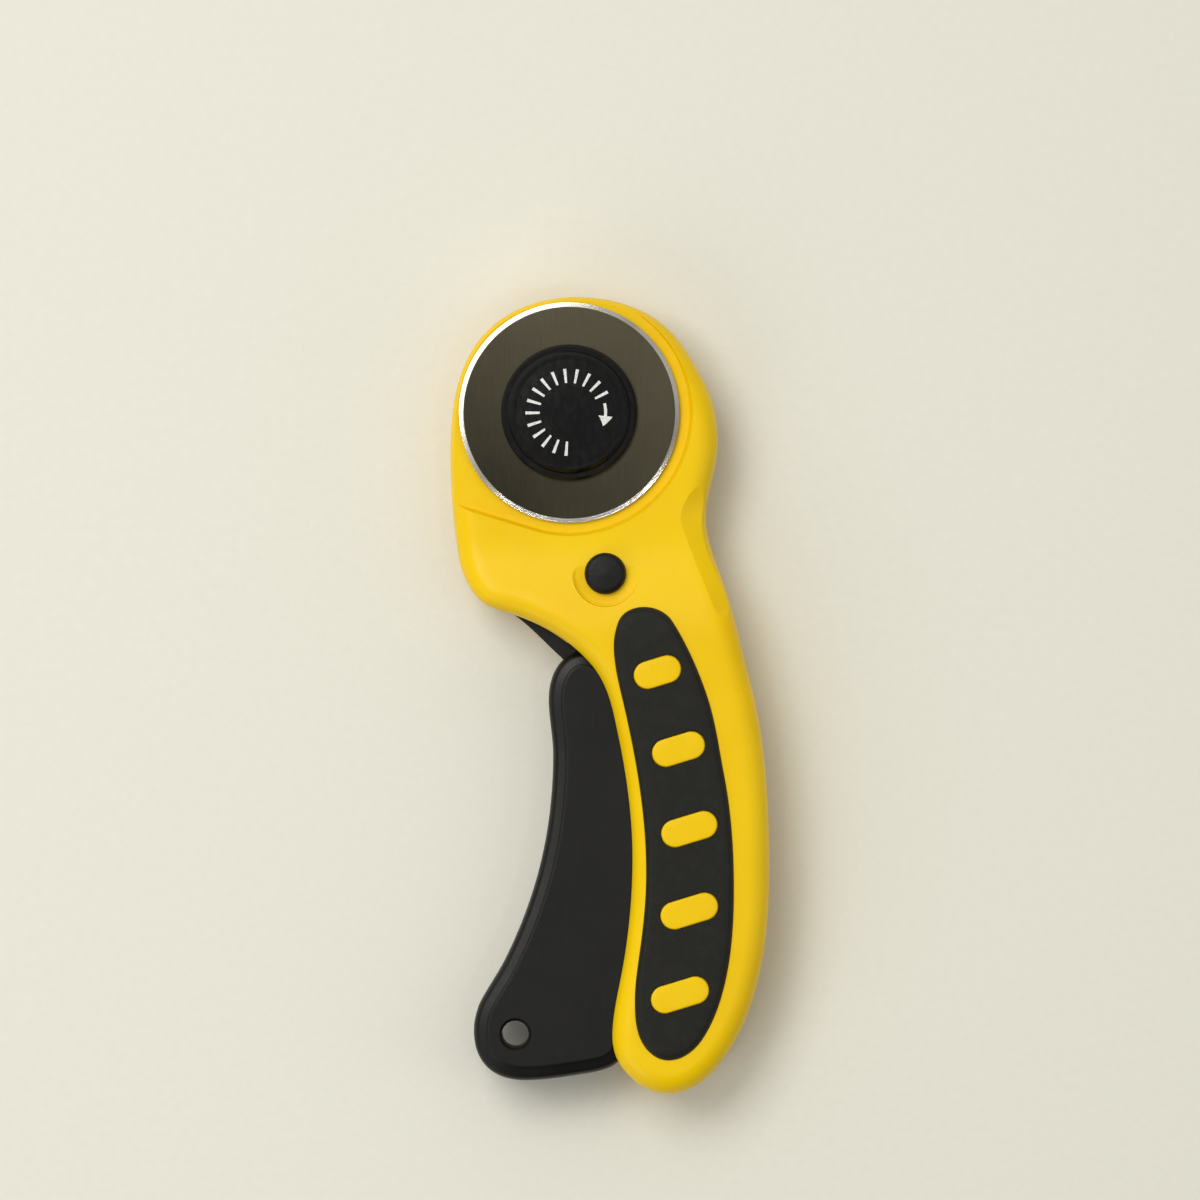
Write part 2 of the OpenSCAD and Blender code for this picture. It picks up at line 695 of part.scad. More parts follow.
// --- lock button ---
// A head in the front shell, two fins that drop into the arm's notches, a waist, and a guide in the rear shell
module lock_button() color(black) at(button) {
    difference() {
        union() {
            translate([0, 0, -button_rear_face]) cylinder(r = guide_r, h = button_rear_face - arm_room - 0.5);
            translate([0, 0, -arm_room - 0.6]) cylinder(r = waist_r, h = button_shoulder + arm_room + 1);
            translate([0, 0, button_shoulder]) rotate_extrude() polygon(concat(
                [[0, 0], [button_d / 2, 0]],
                [for (k = [0:6]) let (a = 15 * k)
                    [button_d / 2 - button_round * (1 - cos(a)),
                     button_face + button_rise - button_shoulder - button_round * (1 - sin(a))]],
                [[0, button_face + button_rise + button_crown - button_shoulder]]
            ));
        }
        for (lift = [0, button_travel]) translate([0, 0, lift - clip_h])
            rotate_extrude() translate([waist_r + clip_groove, 0]) circle(r = clip_wire_r + 0.05, $fn = 32);
    }
    rotate(button_angle) translate([-fin_reach, -fin_w / 2, fin_low])
        cube([2 * fin_reach, fin_w, fin_top - fin_low]);
}

in_frame() front_shell();
in_frame() rear_shell();
in_frame() front_grip();
in_frame() rear_grip();
in_frame() pivot_pin();
in_frame() return_spring();
in_frame() button_clip();
for (s = screws) in_frame() screw(s);
in_frame() trigger_lever();
in_frame() axle_bolt();
in_frame() blade_cap();
in_frame() cap_cover();
in_frame() wave_washer();
in_frame() axle_nut();
in_frame() nut_insert();
in_frame() blade();
in_frame() lock_button();
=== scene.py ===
# %% [markdown]
# # A rotary cutter with a squeeze trigger
# The cutter is two yellow shells, two soft grips, a black trigger that carries the round blade,
# and the small metal pieces that hold them together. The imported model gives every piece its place.
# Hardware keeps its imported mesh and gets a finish. The big moulded pieces are made again here, because
# a moulding's soft edges are what the eye reads first.

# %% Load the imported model
import json
import math

import bmesh
import bpy
import numpy as np
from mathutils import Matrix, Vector
from mathutils.geometry import delaunay_2d_cdt


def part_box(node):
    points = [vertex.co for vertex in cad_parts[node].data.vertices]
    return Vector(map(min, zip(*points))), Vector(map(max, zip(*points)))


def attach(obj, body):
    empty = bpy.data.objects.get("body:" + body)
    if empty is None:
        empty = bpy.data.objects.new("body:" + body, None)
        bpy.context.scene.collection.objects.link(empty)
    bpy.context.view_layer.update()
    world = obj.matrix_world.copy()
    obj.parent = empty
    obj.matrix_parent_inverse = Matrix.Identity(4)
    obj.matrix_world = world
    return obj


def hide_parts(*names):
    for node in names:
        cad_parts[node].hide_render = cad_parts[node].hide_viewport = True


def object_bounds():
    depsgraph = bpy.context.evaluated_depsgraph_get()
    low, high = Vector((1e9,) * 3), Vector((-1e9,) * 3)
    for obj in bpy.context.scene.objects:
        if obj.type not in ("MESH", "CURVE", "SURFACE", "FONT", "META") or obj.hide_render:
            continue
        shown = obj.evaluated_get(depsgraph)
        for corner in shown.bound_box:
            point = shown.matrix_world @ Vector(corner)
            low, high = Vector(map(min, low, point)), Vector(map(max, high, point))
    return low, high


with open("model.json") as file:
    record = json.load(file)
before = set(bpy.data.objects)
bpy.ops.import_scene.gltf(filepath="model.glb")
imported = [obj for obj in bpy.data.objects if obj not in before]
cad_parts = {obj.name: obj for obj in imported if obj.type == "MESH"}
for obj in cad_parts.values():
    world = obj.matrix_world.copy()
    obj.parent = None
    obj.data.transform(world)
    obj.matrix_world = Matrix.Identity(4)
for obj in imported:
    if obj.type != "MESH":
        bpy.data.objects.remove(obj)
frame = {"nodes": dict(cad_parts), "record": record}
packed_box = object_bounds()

print("packed pieces:", len(frame["nodes"]))

# %% [markdown]
# ## Where things are
# Outlines are drawn in millimetres around the blade's axle, with heights counted from the plane where the
# two shells meet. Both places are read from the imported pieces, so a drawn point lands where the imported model
# has it. The pivot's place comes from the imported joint, because the trigger has to turn about that line.

# %% Places
MM = 0.001


def corners(node):
    """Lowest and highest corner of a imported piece."""
    low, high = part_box(node)
    return Vector(low), Vector(high)


def middle(node):
    low, high = corners(node)
    return (low + high) / 2


AXLE = middle("blade")
PARTING = corners("front_shell")[0].z
joints = {joint["name"]: joint for joint in frame["record"]["behaviour"]["joints"]}
PIVOT = Vector(joints["trigger_squeeze"]["pos_m"])


def place(x, y, z):
    """A drawn point, in mm, as a point in the scene."""
    return Vector((AXLE.x + x * MM, AXLE.y + y * MM, PARTING + z * MM))


def drawn(point):
    """A point in the scene, in drawn mm."""
    return ((point[0] - AXLE.x) / MM, (point[1] - AXLE.y) / MM, (point[2] - PARTING) / MM)


pivot = drawn(PIVOT)[:2]
button = drawn(middle("lock_button"))[:2]
button_path = math.dist(button, pivot)
button_angle = math.degrees(math.atan2(button[1] - pivot[1], button[0] - pivot[0]))
print("pivot", [round(v, 2) for v in pivot], "button", [round(v, 2) for v in button])

# %% [markdown]
# ## Smooth outlines
# A moulding's outline is one flowing curve. Each anchor is a point and the heading of the curve there, and
# a Bezier span joins each to the next, so the whole outline bends without a corner. Few anchors are easier
# to keep fair than many points, which always come out a little lumpy.

# %% Outline helpers


def turn(a, b):
    """The short way from one heading to another, in degrees."""
    return (b - a) - 360 * round((b - a) / 360)


def heading(degrees):
    """A step of one mm in a direction."""
    return np.array([math.cos(math.radians(degrees)), math.sin(math.radians(degrees))])


def closed_curve(anchors, step=0.8):
    """Points along a closed curve through anchors, each (x, y, heading), counterclockwise."""
    points = []
    for a, b in zip(anchors, anchors[1:] + anchors[:1]):
        p, q = np.array(a[:2], float), np.array(b[:2], float)
        chord = np.linalg.norm(q - p)
        reach = chord / (3 * math.cos(math.radians(turn(a[2], b[2]) / 4)) ** 2)
        p1 = p + reach * heading(a[2])
        q1 = q - reach * heading(b[2])
        n = max(3, round(chord / step))
        for t in np.arange(n) / n:
            u = 1 - t
            points.append(u**3 * p + 3 * u * u * t * p1 + 3 * u * t * t * q1 + t**3 * q)
    return np.array(points)


def inset(points, d):
    """The same closed curve, moved inwards by d."""
    along = np.roll(points, -1, axis=0) - np.roll(points, 1, axis=0)
    normal = np.stack([-along[:, 1], along[:, 0]], axis=1) / np.linalg.norm(along, axis=1)[:, None]
    return points + d * normal


def arc(centre, r, start, end, n=48):
    """Points on an arc, angles in degrees."""
    a = np.radians(np.linspace(start, end, n))
    return np.stack([centre[0] + r * np.cos(a), centre[1] + r * np.sin(a)], axis=1)


def arc_slot(centre, path_r, start, end, r):
    """The outline of a slot of half width r along an arc."""
    def on_path(a):
        return centre + path_r * heading(a)
    return np.concatenate([
        arc(centre, path_r + r, start, end), arc(on_path(end), r, end, end + 180, 24)[1:],
        arc(centre, path_r - r, end, start)[1:], arc(on_path(start), r, start + 180, start + 360, 24)[1:-1]])


def stadium(x, y, length, width, tilt):
    """The outline of a bar with round ends."""
    end = (length - width) / 2 * heading(tilt)
    return np.concatenate([arc(np.array([x, y]) + end, width / 2, tilt - 90, tilt + 90, 24),
                           arc(np.array([x, y]) - end, width / 2, tilt + 90, tilt + 270, 24)])


body_outline = closed_curve([
    (1.5, 23.7, 180), (-16.8, 16.8, 225), (-24.3, -9, 270), (-22.7, -29, 279), (-18.5, -38.1, 314),
    (-11.4, -41.3, 342), (0.2, -47.5, 321), (6.7, -55, 297), (9.7, -65, 282), (12.8, -91, 270),
    (10.5, -115, 259), (8.7, -127.5, 270), (11.2, -134.5, 311), (20, -139.2, 0), (30.5, -133.4, 51),
    (37.5, -120, 73), (40.9, -94, 90), (37, -55, 105), (31.6, -35, 109), (28, -21.5, 90),
    (30.4, -6, 90), (27.3, 6.9, 119), (20, 17.4, 138)])
grip_outline = closed_curve([
    (15.3, -39.7, 180), (10, -42.8, 250), (9.1, -47.5, 270), (11.2, -60, 283), (15.7, -94, 270),
    (14.4, -110, 262), (13.4, -120, 270), (15.8, -129.9, 310), (20.2, -132.2, 0), (27.5, -127.4, 58),
    (31.6, -117.2, 76), (33.6, -97, 90), (31.6, -73.9, 101), (28, -57.4, 109), (21.2, -42.8, 122)])
print("outline points:", len(body_outline), len(grip_outline))

# %% [markdown]
# ## From an outline to a moulding
# A half shell is a flat foot, a wall, a rounded edge and a face that climbs from the thin head to the thick
# handle. Sweeping a chain of rings inwards gives the edge the exact rounding that the tool would cut, and the
# face inside the last ring is filled with a fine even net of triangles that follows the climb. A bevel on an
# extruded outline would keep the face dead flat.

# %% Mesh helpers
SAME_PLACE = 0.001 * MM
OFF_THE_LOOP = 0.6


def inside(points, loop):
    """Which points lie inside a closed loop."""
    x, y = points[:, 0][:, None], points[:, 1][:, None]
    ax, ay = loop[:, 0], loop[:, 1]
    bx, by = np.roll(ax, -1), np.roll(ay, -1)
    crosses = (ay > y) != (by > y)
    with np.errstate(divide="ignore", invalid="ignore"):
        at = (bx - ax) * (y - ay) / (by - ay) + ax
    return (np.sum(crosses & (x < at), axis=1) % 2) == 1


def net(loop, spacing):
    """A net of triangles inside a loop. Its inner points keep a share of the spacing off the loop."""
    points = loop
    if spacing:
        low, high = loop.min(axis=0), loop.max(axis=0)
        gx, gy = np.meshgrid(np.arange(low[0], high[0], spacing), np.arange(low[1], high[1], spacing))
        gx = gx + (np.arange(gx.shape[0]) % 2)[:, None] * spacing / 2
        grid = np.stack([gx.ravel(), gy.ravel()], axis=1)
        grid = grid[inside(grid, loop)]
        apart = np.min(np.linalg.norm(grid[:, None, :] - loop[None, ::2, :], axis=2), axis=1)
        points = np.concatenate([loop, grid[apart > spacing * OFF_THE_LOOP]])
    n = len(loop)
    edges = [(i, (i + 1) % n) for i in range(n)]
    verts, _, faces, *_ = delaunay_2d_cdt([Vector(p) for p in points], edges, [], 1, 1e-5)
    return np.array([v[:] for v in verts]), [list(f) for f in faces]


def make_object(name, verts, faces):
    """A new object from drawn mm, with its faces turned outwards."""
    mesh = bpy.data.meshes.new(name)
    mesh.from_pydata([place(*v) for v in verts], [], faces)
    work = bmesh.new()
    work.from_mesh(mesh)
    bmesh.ops.remove_doubles(work, verts=work.verts, dist=1e-7)
    bmesh.ops.triangulate(work, faces=[f for f in work.faces if len(f.verts) > 4])
    bmesh.ops.recalc_face_normals(work, faces=work.faces)
    work.to_mesh(mesh)
    work.free()
    piece = bpy.data.objects.new(name, mesh)
    bpy.context.scene.collection.objects.link(piece)
    return piece


def moulding(name, outline, rings, top, foot=0.0, spacing=1.6, under=False, seam=0.0):
    """A closed solid: foot, wall, rings of (inset, drop) under the face, then the face itself.
    A seam breaks the foot's edge, as where two halves meet."""
    sign = -1 if under else 1
    loops = [inset(outline, d) for d, drop in rings]
    n = len(outline)
    sole = inset(outline, seam) if seam else outline
    verts = [(x, y, sign * foot) for x, y in sole]
    if seam:
        verts += [(x, y, sign * (foot + seam)) for x, y in outline]
    for loop, (d, drop) in zip(loops, rings):
        verts += [(x, y, sign * (top(x, y) - drop)) for x, y in loop]
    faces = []
    for k in range(len(verts) // n - 1):
        for i in range(n):
            j = (i + 1) % n
            faces.append((k * n + i, k * n + j, (k + 1) * n + j, (k + 1) * n + i))
    for loop, lift, gap in ((loops[-1], None, spacing), (sole, foot, 0)):
        points, triangles = net(loop, gap)
        base = len(verts)
        verts += [(x, y, sign * (top(x, y) - rings[-1][1] if lift is None else lift)) for x, y in points]
        faces += [[base + i for i in f] for f in triangles]
    return make_object(name, verts, faces)


def slab(outline, low, high, name="cutter"):
    """An outline made thick."""
    n = len(outline)
    verts = [(x, y, low) for x, y in outline] + [(x, y, high) for x, y in outline]
    faces = [tuple(range(n)), tuple(range(n, 2 * n))]
    faces += [(i, (i + 1) % n, n + (i + 1) % n, n + i) for i in range(n)]
    return make_object(name, verts, faces)


def turned(profile, centre=(0, 0), n=96, name="cutter"):
    """A solid of revolution: profile is (radius, height) from the axis, out and back to it."""
    verts, faces, rows = [], [], []
    for r, z in profile:
        if r == 0:
            rows.append([len(verts)] * n)
            verts.append((centre[0], centre[1], z))
        else:
            rows.append(list(range(len(verts), len(verts) + n)))
            for i in range(n):
                verts.append((*(centre + r * heading(360 * i / n)), z))
    for a, b in zip(rows, rows[1:]):
        for i in range(n):
            j = (i + 1) % n
            face = list(dict.fromkeys((a[i], a[j], b[j], b[i])))
            if len(face) > 2:
                faces.append(face)
    return make_object(name, verts, faces)


def drum(centre, r, low, high, n=96):
    return turned([(0, low), (r, low), (r, high), (0, high)], centre, n)


def rod(start, angle, length, r, n=48):
    """A round bar that lies along the part, from a point (x, y, z) in a direction."""
    along, across = heading(angle), heading(angle + 90)
    verts, faces = [], [tuple(range(n)), tuple(range(n, 2 * n))]
    for far in (0, length):
        for i in range(n):
            side, up = r * heading(360 * i / n)
            verts.append((*(start[:2] + far * along + side * across), start[2] + up))
    faces += [(i, (i + 1) % n, n + (i + 1) % n, n + i) for i in range(n)]
    return make_object("cutter", verts, faces)


def bar(centre, angle, x, y, z):
    """A block between the limits x, y and z, turned about a centre."""
    outline = [centre + a * heading(angle) + b * heading(angle + 90)
               for a, b in ((x[0], y[0]), (x[1], y[0]), (x[1], y[1]), (x[0], y[1]))]
    return slab(np.array(outline), *sorted(z))


def carve(piece, tools, operation="DIFFERENCE"):
    """Cuts tools from a piece, or joins them to it, and keeps only the result."""
    for tool in tools:
        cut = piece.modifiers.new("cut", "BOOLEAN")
        cut.operation = operation
        cut.solver = "MANIFOLD"
        cut.object = tool
    bpy.context.view_layer.update()
    result = bpy.data.meshes.new_from_object(piece.evaluated_get(bpy.context.evaluated_depsgraph_get()))
    piece.modifiers.clear()
    piece.data = result
    for tool in tools:
        bpy.data.objects.remove(tool)
    return piece


def smooth(piece, angle=34):
    """Merges points that cutting left in one place, then shades smooth all but the sharp edges."""
    work = bmesh.new()
    work.from_mesh(piece.data)
    bmesh.ops.remove_doubles(work, verts=work.verts, dist=SAME_PLACE)
    bmesh.ops.dissolve_degenerate(work, edges=work.edges, dist=SAME_PLACE)
    work.to_mesh(piece.data)
    work.free()
    piece.data.shade_smooth()
    piece.data.set_sharp_from_angle(angle=math.radians(angle))
    return piece


def rounded(r, steps, reach=None, last=84):
    """Rings (inset, drop) of a rounded edge of height r that runs in by reach, round to the last angle."""
    reach = reach or r
    rings = []
    for k in range(steps + 1):
        across, up = heading(last * k / steps)
        rings.append((reach * (1 - across), r * (1 - up)))
    return rings


# %% [markdown]
# ## Shader helpers
# A finish is easier to read as an expression than as a tangle of links. A small class stands for one output
# of a node, and the usual signs add Math nodes behind it. Every other node comes from one method that sets
# the node's own settings first, and then plugs or fills its sockets.

# %% Shader kit


class Wire:
    """One value on its way through a material."""

    def __init__(self, socket):
        self.socket = socket

    def _math(self, operation, a, b):
        tree = self.socket.id_data
        node = tree.nodes.new("ShaderNodeMath")
        node.operation = operation
        for entry, value in zip(node.inputs, (a, b)):
            plug(entry, value)
        return Wire(node.outputs[0])

    def __add__(self, other):
        return self._math("ADD", self, other)

    def __radd__(self, other):
        return self._math("ADD", other, self)

    def __sub__(self, other):
        return self._math("SUBTRACT", self, other)

    def __rsub__(self, other):
        return self._math("SUBTRACT", other, self)

    def __mul__(self, other):
        return self._math("MULTIPLY", self, other)

    def __rmul__(self, other):
        return self._math("MULTIPLY", other, self)

    def __truediv__(self, other):
        return self._math("DIVIDE", self, other)

    def __rtruediv__(self, other):
        return self._math("DIVIDE", other, self)


def plug(entry, value):
    """Links a wire to a socket, or fills the socket with a value."""
    if isinstance(value, Wire):
        entry.id_data.links.new(value.socket, entry)
    else:
        entry.default_value = value


class Finish:
    """A material being made."""

    def __init__(self, name):
        self.material = bpy.data.materials.new(name)
        self.material.use_nodes = True
        self.tree = self.material.node_tree
        self.tree.nodes.clear()
        self.shader = self.tree.nodes.new("ShaderNodeBsdfPrincipled")
        output = self.tree.nodes.new("ShaderNodeOutputMaterial")
        self.tree.links.new(self.shader.outputs[0], output.inputs["Surface"])
        here = self.node("ShaderNodeTexCoord", out="Object")
        self.mm = self.vector("SCALE", {0: here, "Scale": 1 / MM})

    def node(self, kind, settings=None, sockets=None, out=0):
        """Adds any node: its settings are set first, then its sockets are filled or linked."""
        node = self.tree.nodes.new(kind)
        for key, value in (settings or {}).items():
            if key == "stops":
                ramp = node.color_ramp
                while len(ramp.elements) < len(value):
                    ramp.elements.new(0.5)
                for element, (position, colour) in zip(ramp.elements, value):
                    element.position = position
                    element.color = colour
            else:
                setattr(node, key, value)
        for key, value in (sockets or {}).items():
            plug(node.inputs[key], value)
        return Wire(node.outputs[out])

    def vector(self, operation, sockets, out=0):
        return self.node("ShaderNodeVectorMath", {"operation": operation}, sockets, out)

    def stretched(self, x, y, z):
        """Places in mm, scaled along each axis: noise read there runs along the axis that is scaled down."""
        return self.vector("MULTIPLY", {0: self.mm, 1: (x, y, z)})

    def noise(self, scale, detail=3.0, where=None):
        """Soft noise between 0 and 1, with scale in marks per mm."""
        places = where or self.mm
        return self.node("ShaderNodeTexNoise", {}, {"Vector": places, "Scale": scale, "Detail": detail})

    def blend(self, mask, dark, light):
        """One colour where the mask is 0, another where it is 1."""
        return self.node("ShaderNodeMix", {"data_type": "RGBA"}, {0: mask, 6: dark, 7: light}, out=2)

    def between(self, value, low, high, to_low=0.0, to_high=1.0):
        """Maps a range of a value to another range, and stops at its ends."""
        return self.node("ShaderNodeMapRange", {"clamp": True},
                         {0: value, 1: low, 2: high, 3: to_low, 4: to_high})

    def bump(self, height, depth_mm):
        return self.node("ShaderNodeBump", {}, {"Height": height, "Distance": depth_mm * MM, "Strength": 1.0})

    def set(self, **sockets):
        """Fills or links the shader's own sockets, with _ for a space in their names."""
        for key, value in sockets.items():
            plug(self.shader.inputs[key.replace("_", " ")], value)
        return self.material


def colour(r, g, b):
    """A screen colour from 0 to 255, as the shader wants it."""
    shares = (r / 255, g / 255, b / 255)
    return (*[v / 12.92 if v <= 0.04045 else ((v + 0.055) / 1.055) ** 2.4 for v in shares], 1)


# %% [markdown]
# ## Yellow plastic
# The shells are ABS, moulded in a polished tool: warm yellow all the way through, with a low sheen, faint
# flow clouds and an orange-peel skin too fine to see except in the highlights. Handling leaves long rub
# marks, which show only as changes in gloss, so they feed the roughness and not the colour.

# %% Yellow finish


def yellow_plastic():
    f = Finish("yellow_plastic")
    clouds = f.noise(0.05, 2)
    skin = f.noise(1.6, 2)
    grain = f.noise(6.0, 2)
    rubs = f.noise(0.35, 5, f.stretched(1.0, 0.16, 1.0))
    base = f.blend(f.between(clouds, 0.3, 0.7), colour(246, 200, 0), colour(250, 208, 0))
    gloss = f.between(rubs, 0.35, 0.7, 0.27, 0.38) + 0.05 * skin
    return f.set(Base_Color=base, Roughness=gloss, Normal=f.bump(skin * 0.6 + grain * 0.12, 0.035),
                 Specular_IOR_Level=0.22, Subsurface_Weight=0.05, Subsurface_Radius=(0.004, 0.002, 0.0005))


YELLOW = yellow_plastic()

# %% [markdown]
# ## Soft black grip and black plastic
# The grips are a soft rubber moulded with a spark-eroded skin: thousands of tiny pits that scatter the light.
# The trigger is a harder plastic with a finer skin, soft patches where the gloss changes, and thin scuffs.
# The button is the same plastic with a coarser skin. The cap is the glossiest of them, and shows hairlines.

# %% Black finishes


def soft_rubber():
    f = Finish("soft_rubber")
    pits = f.node("ShaderNodeTexVoronoi", {"feature": "F1"}, {"Vector": f.mm, "Scale": 3.2})
    grain = f.noise(5.0, 3)
    dust = f.between(f.noise(0.4, 6), 0.45, 0.75)
    base = f.blend(dust * 0.5 + grain * 0.3, colour(17, 17, 11), colour(34, 33, 22))
    return f.set(Base_Color=base, Roughness=f.between(grain, 0.3, 0.7, 0.5, 0.66),
                 Normal=f.bump(pits * 0.7 + grain * 0.5, 0.06), Specular_IOR_Level=0.24,
                 Sheen_Weight=0.08, Sheen_Roughness=0.5)


def black_plastic(name="black_plastic", pit=4.5, depth=0.035):
    f = Finish(name)
    skin = f.noise(pit, 4)
    soft = f.noise(0.08, 3)
    scuffs = f.noise(0.9, 6, f.stretched(1.6, 0.1, 1.0))
    scuffed = f.between(scuffs, 0.62, 0.72)
    base = f.blend(scuffed * 0.35 + soft * 0.35, colour(9, 9, 6), colour(27, 26, 19))
    return f.set(Base_Color=base, Roughness=f.between(soft, 0.3, 0.7, 0.34, 0.46) + 0.12 * scuffed,
                 Normal=f.bump(skin, depth), Specular_IOR_Level=0.26)


def cap_plastic():
    f = Finish("cap_plastic")
    soft = f.noise(0.15, 4)
    hair = f.noise(1.0, 6, f.stretched(1.1, 0.5, 1.0))
    base = f.blend(f.between(hair, 0.45, 0.8), colour(4, 4, 5), colour(14, 13, 12))
    return f.set(Base_Color=base, Roughness=f.between(hair, 0.4, 0.75, 0.16, 0.26) + 0.04 * soft,
                 Normal=f.bump(soft, 0.02), Specular_IOR_Level=0.26)


RUBBER = soft_rubber()
BLACK = black_plastic()
BUTTON_BLACK = black_plastic("button_plastic", 3.0, 0.07)
CAP_BLACK = cap_plastic()

# %% [markdown]
# ## Steel, brass and ink
# The blade is ground straight across and then polished as it spins, so a straight grain and fine rings lie
# over each other. Its face is painted darker than bare steel, and lighter towards one side and darker towards
# the other, as a painted reflection of the room it mirrors, with real stains over it. Its bevel is honed
# bright. The rings are noise read along the distance from the axle, and the grain is noise drawn out in one
# direction. Screws, bolt, pin and springs are plain steel, and the insert is brass: one recipe with other
# colours.

# %% Metal finishes
BEVEL_FROM, BEVEL_TO = 21.6, 21.75
# Painted reflection: the blade's face is painted lighter towards this side and darker away from it.
PAINTED_REFLECTION_SIDE = (0.6, 0.8, 0)


def blade_steel():
    f = Finish("blade_steel")
    out = f.vector("SUBTRACT", {0: f.mm, 1: (AXLE.x / MM, AXLE.y / MM, 0)})
    flat = f.vector("MULTIPLY", {0: out, 1: (1, 1, 0)})
    radius = f.vector("LENGTH", {0: flat}, "Value")
    rings = f.noise(1.0, 4, f.node("ShaderNodeCombineXYZ", {}, {0: radius * 5.0}))
    fine = f.noise(1.0, 2, f.node("ShaderNodeCombineXYZ", {}, {0: radius * 18.0}))
    stains = f.noise(0.05, 3)
    grind = f.noise(1.0, 5, f.vector("MULTIPLY", {0: flat, 1: (4.0, 0.12, 1.0)}))
    bevel = f.between(radius, BEVEL_FROM, BEVEL_TO)
    # Painted reflection: a gradient across the face, lighter towards one side, mixed with the real stains.
    side = f.vector("DOT_PRODUCT", {0: flat, 1: PAINTED_REFLECTION_SIDE}, "Value")
    painted_reflection_and_stains = f.between(side, -20, 20) * 0.55 + stains * 0.3
    # Painted reflection: the face's dark steel colours stand in for the dark room that the face mirrors.
    face = f.blend(painted_reflection_and_stains + grind * 0.3, colour(31, 29, 24), colour(90, 85, 69))
    honed = f.blend(f.between(stains, 0.4, 0.6), colour(190, 186, 172), colour(236, 232, 222))
    base = f.blend(bevel, face, honed)
    rough = (1 - bevel) * (0.26 + 0.1 * rings + 0.08 * painted_reflection_and_stains) + bevel * 0.14
    height = rings * 0.5 + fine * 0.4 + grind * 0.1
    return f.set(Base_Color=base, Metallic=1.0, Roughness=rough, Normal=f.bump(height, 0.03))


def plain_steel(name, tint, rough, scale=2.0):
    f = Finish(name)
    skin = f.noise(scale, 4)
    patches = f.noise(0.5, 3)
    paler = [min(255, v + 22) for v in tint]
    return f.set(Base_Color=f.blend(patches, colour(*tint), colour(*paler)), Metallic=1.0,
                 Roughness=f.between(skin, 0.3, 0.7, rough, rough + 0.14), Normal=f.bump(skin, 0.01))


def white_ink():
    f = Finish("white_ink")
    worn = f.noise(2.5, 4)
    base = f.blend(f.between(worn, 0.25, 0.6), colour(196, 196, 192), colour(240, 240, 236))
    return f.set(Base_Color=base, Roughness=f.between(worn, 0.2, 0.8, 0.35, 0.55),
                 Normal=f.bump(worn, 0.01))


BLADE = blade_steel()
ZINC = plain_steel("zinc_steel", (196, 198, 202), 0.26)
SPRING = plain_steel("spring_steel", (150, 150, 150), 0.3, 3.0)
BRASS = plain_steel("turned_brass", (206, 172, 98), 0.25)
INK = white_ink()

# %% [markdown]
# ## Hardware
# Pins, screws, springs, cap, button, nut and blade are turned, bent or pressed to plain shapes, and their
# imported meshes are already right. Modelling them again would gain nothing, so each only gets its finish.

# %% Finishes for the hardware
finishes = {
    "pivot_pin": ZINC, "axle_bolt": ZINC, "nut_insert": BRASS, "return_spring": SPRING, "button_clip": SPRING,
    "wave_washer": SPRING, "blade": BLADE, "blade_cap": CAP_BLACK, "cap_cover": CAP_BLACK,
    "lock_button": BUTTON_BLACK, "axle_nut": BLACK}
finishes.update({name: ZINC for name in frame["nodes"] if name.startswith("screw_")})
for name, finish in finishes.items():
    frame["nodes"][name].data.materials.clear()
    frame["nodes"][name].data.materials.append(finish)
print("finished hardware:", len(finishes))

# %% [markdown]
# ## The shells
# The two shells are the same outline at different heights. The head is thin so that the blade lies close to
# the cloth, and the handle swells up to fill the hand, with a soft slope between. A face whose height depends
# only on the place along the part is enough for that, so one short function each gives it.

# %% Heights of the body
HEAD_FRONT, HEAD_REAR, HANDLE = 6.0, 5.0, 9.5
GRIP_PROUD, GRIP_RECESS = 1.0, 2.4
EDGE = 4.5
SLOPE_FROM, SLOPE_LENGTH = -26, 20


def rise(y):
    """How much of the climb from head to handle is done, from 0 to 1."""
    t = min(1, max(0, (SLOPE_FROM - y) / SLOPE_LENGTH))
    return t * t * (3 - 2 * t)


def front_face(x, y):
    return HEAD_FRONT + (HANDLE - HEAD_FRONT) * rise(y)


def rear_face(x, y):
    return HEAD_REAR + (HANDLE - HEAD_REAR) * rise(y)


# %% [markdown]
# ## Inside the shells
# Everything that is cut from a shell is cut after it is shaped, as it would be on the bench: a thin room for
# the trigger's arm, a deep one for the trigger, the mouths that let them out, the arc that the axle travels,
# and the recess for the grip. Posts for the screws, and the spring's seat, are left standing. Cutters are
# made anew for each shell, because a cut uses its tools up.

# %% Rooms, mouths and pads
ARM_ROOM, TRIGGER_ROOM = 2.4, 6.1
WALL, HEAD_END, BEYOND = 2.3, -45.6, 60
SWING = 10
axle_path = math.dist((0, 0), pivot)
axle_angle = math.degrees(math.atan2(-pivot[1], -pivot[0]))
mouth = np.array([
    [-30, -47.5], [-1, -47.5], [1.5, HEAD_END], [9, HEAD_END], [16, -50], [16, -128], [13.4, -134],
    [13.4, -150], [-30, -150]], float)
arm_mouth = np.array([
    [-30, -52], [-17, -44], [-15.7, -36], [-8, -34], [4, -40], [8, -50], [4, -56]], float)
below_head = np.array([[-BEYOND, HEAD_END], [-BEYOND, -160], [BEYOND, -160], [BEYOND, HEAD_END]], float)
pads = [
    (18, -53, 10), (22.3, -68.7, 11.2), (24.5, -85, 11.9), (24.5, -101.7, 12.2), (22.6, -118.8, 12.3)]
PAD_WIDTH, PAD_TILT, PAD_LOWER, PAD_ROOT = 5.8, 17, 0.15, 0.3

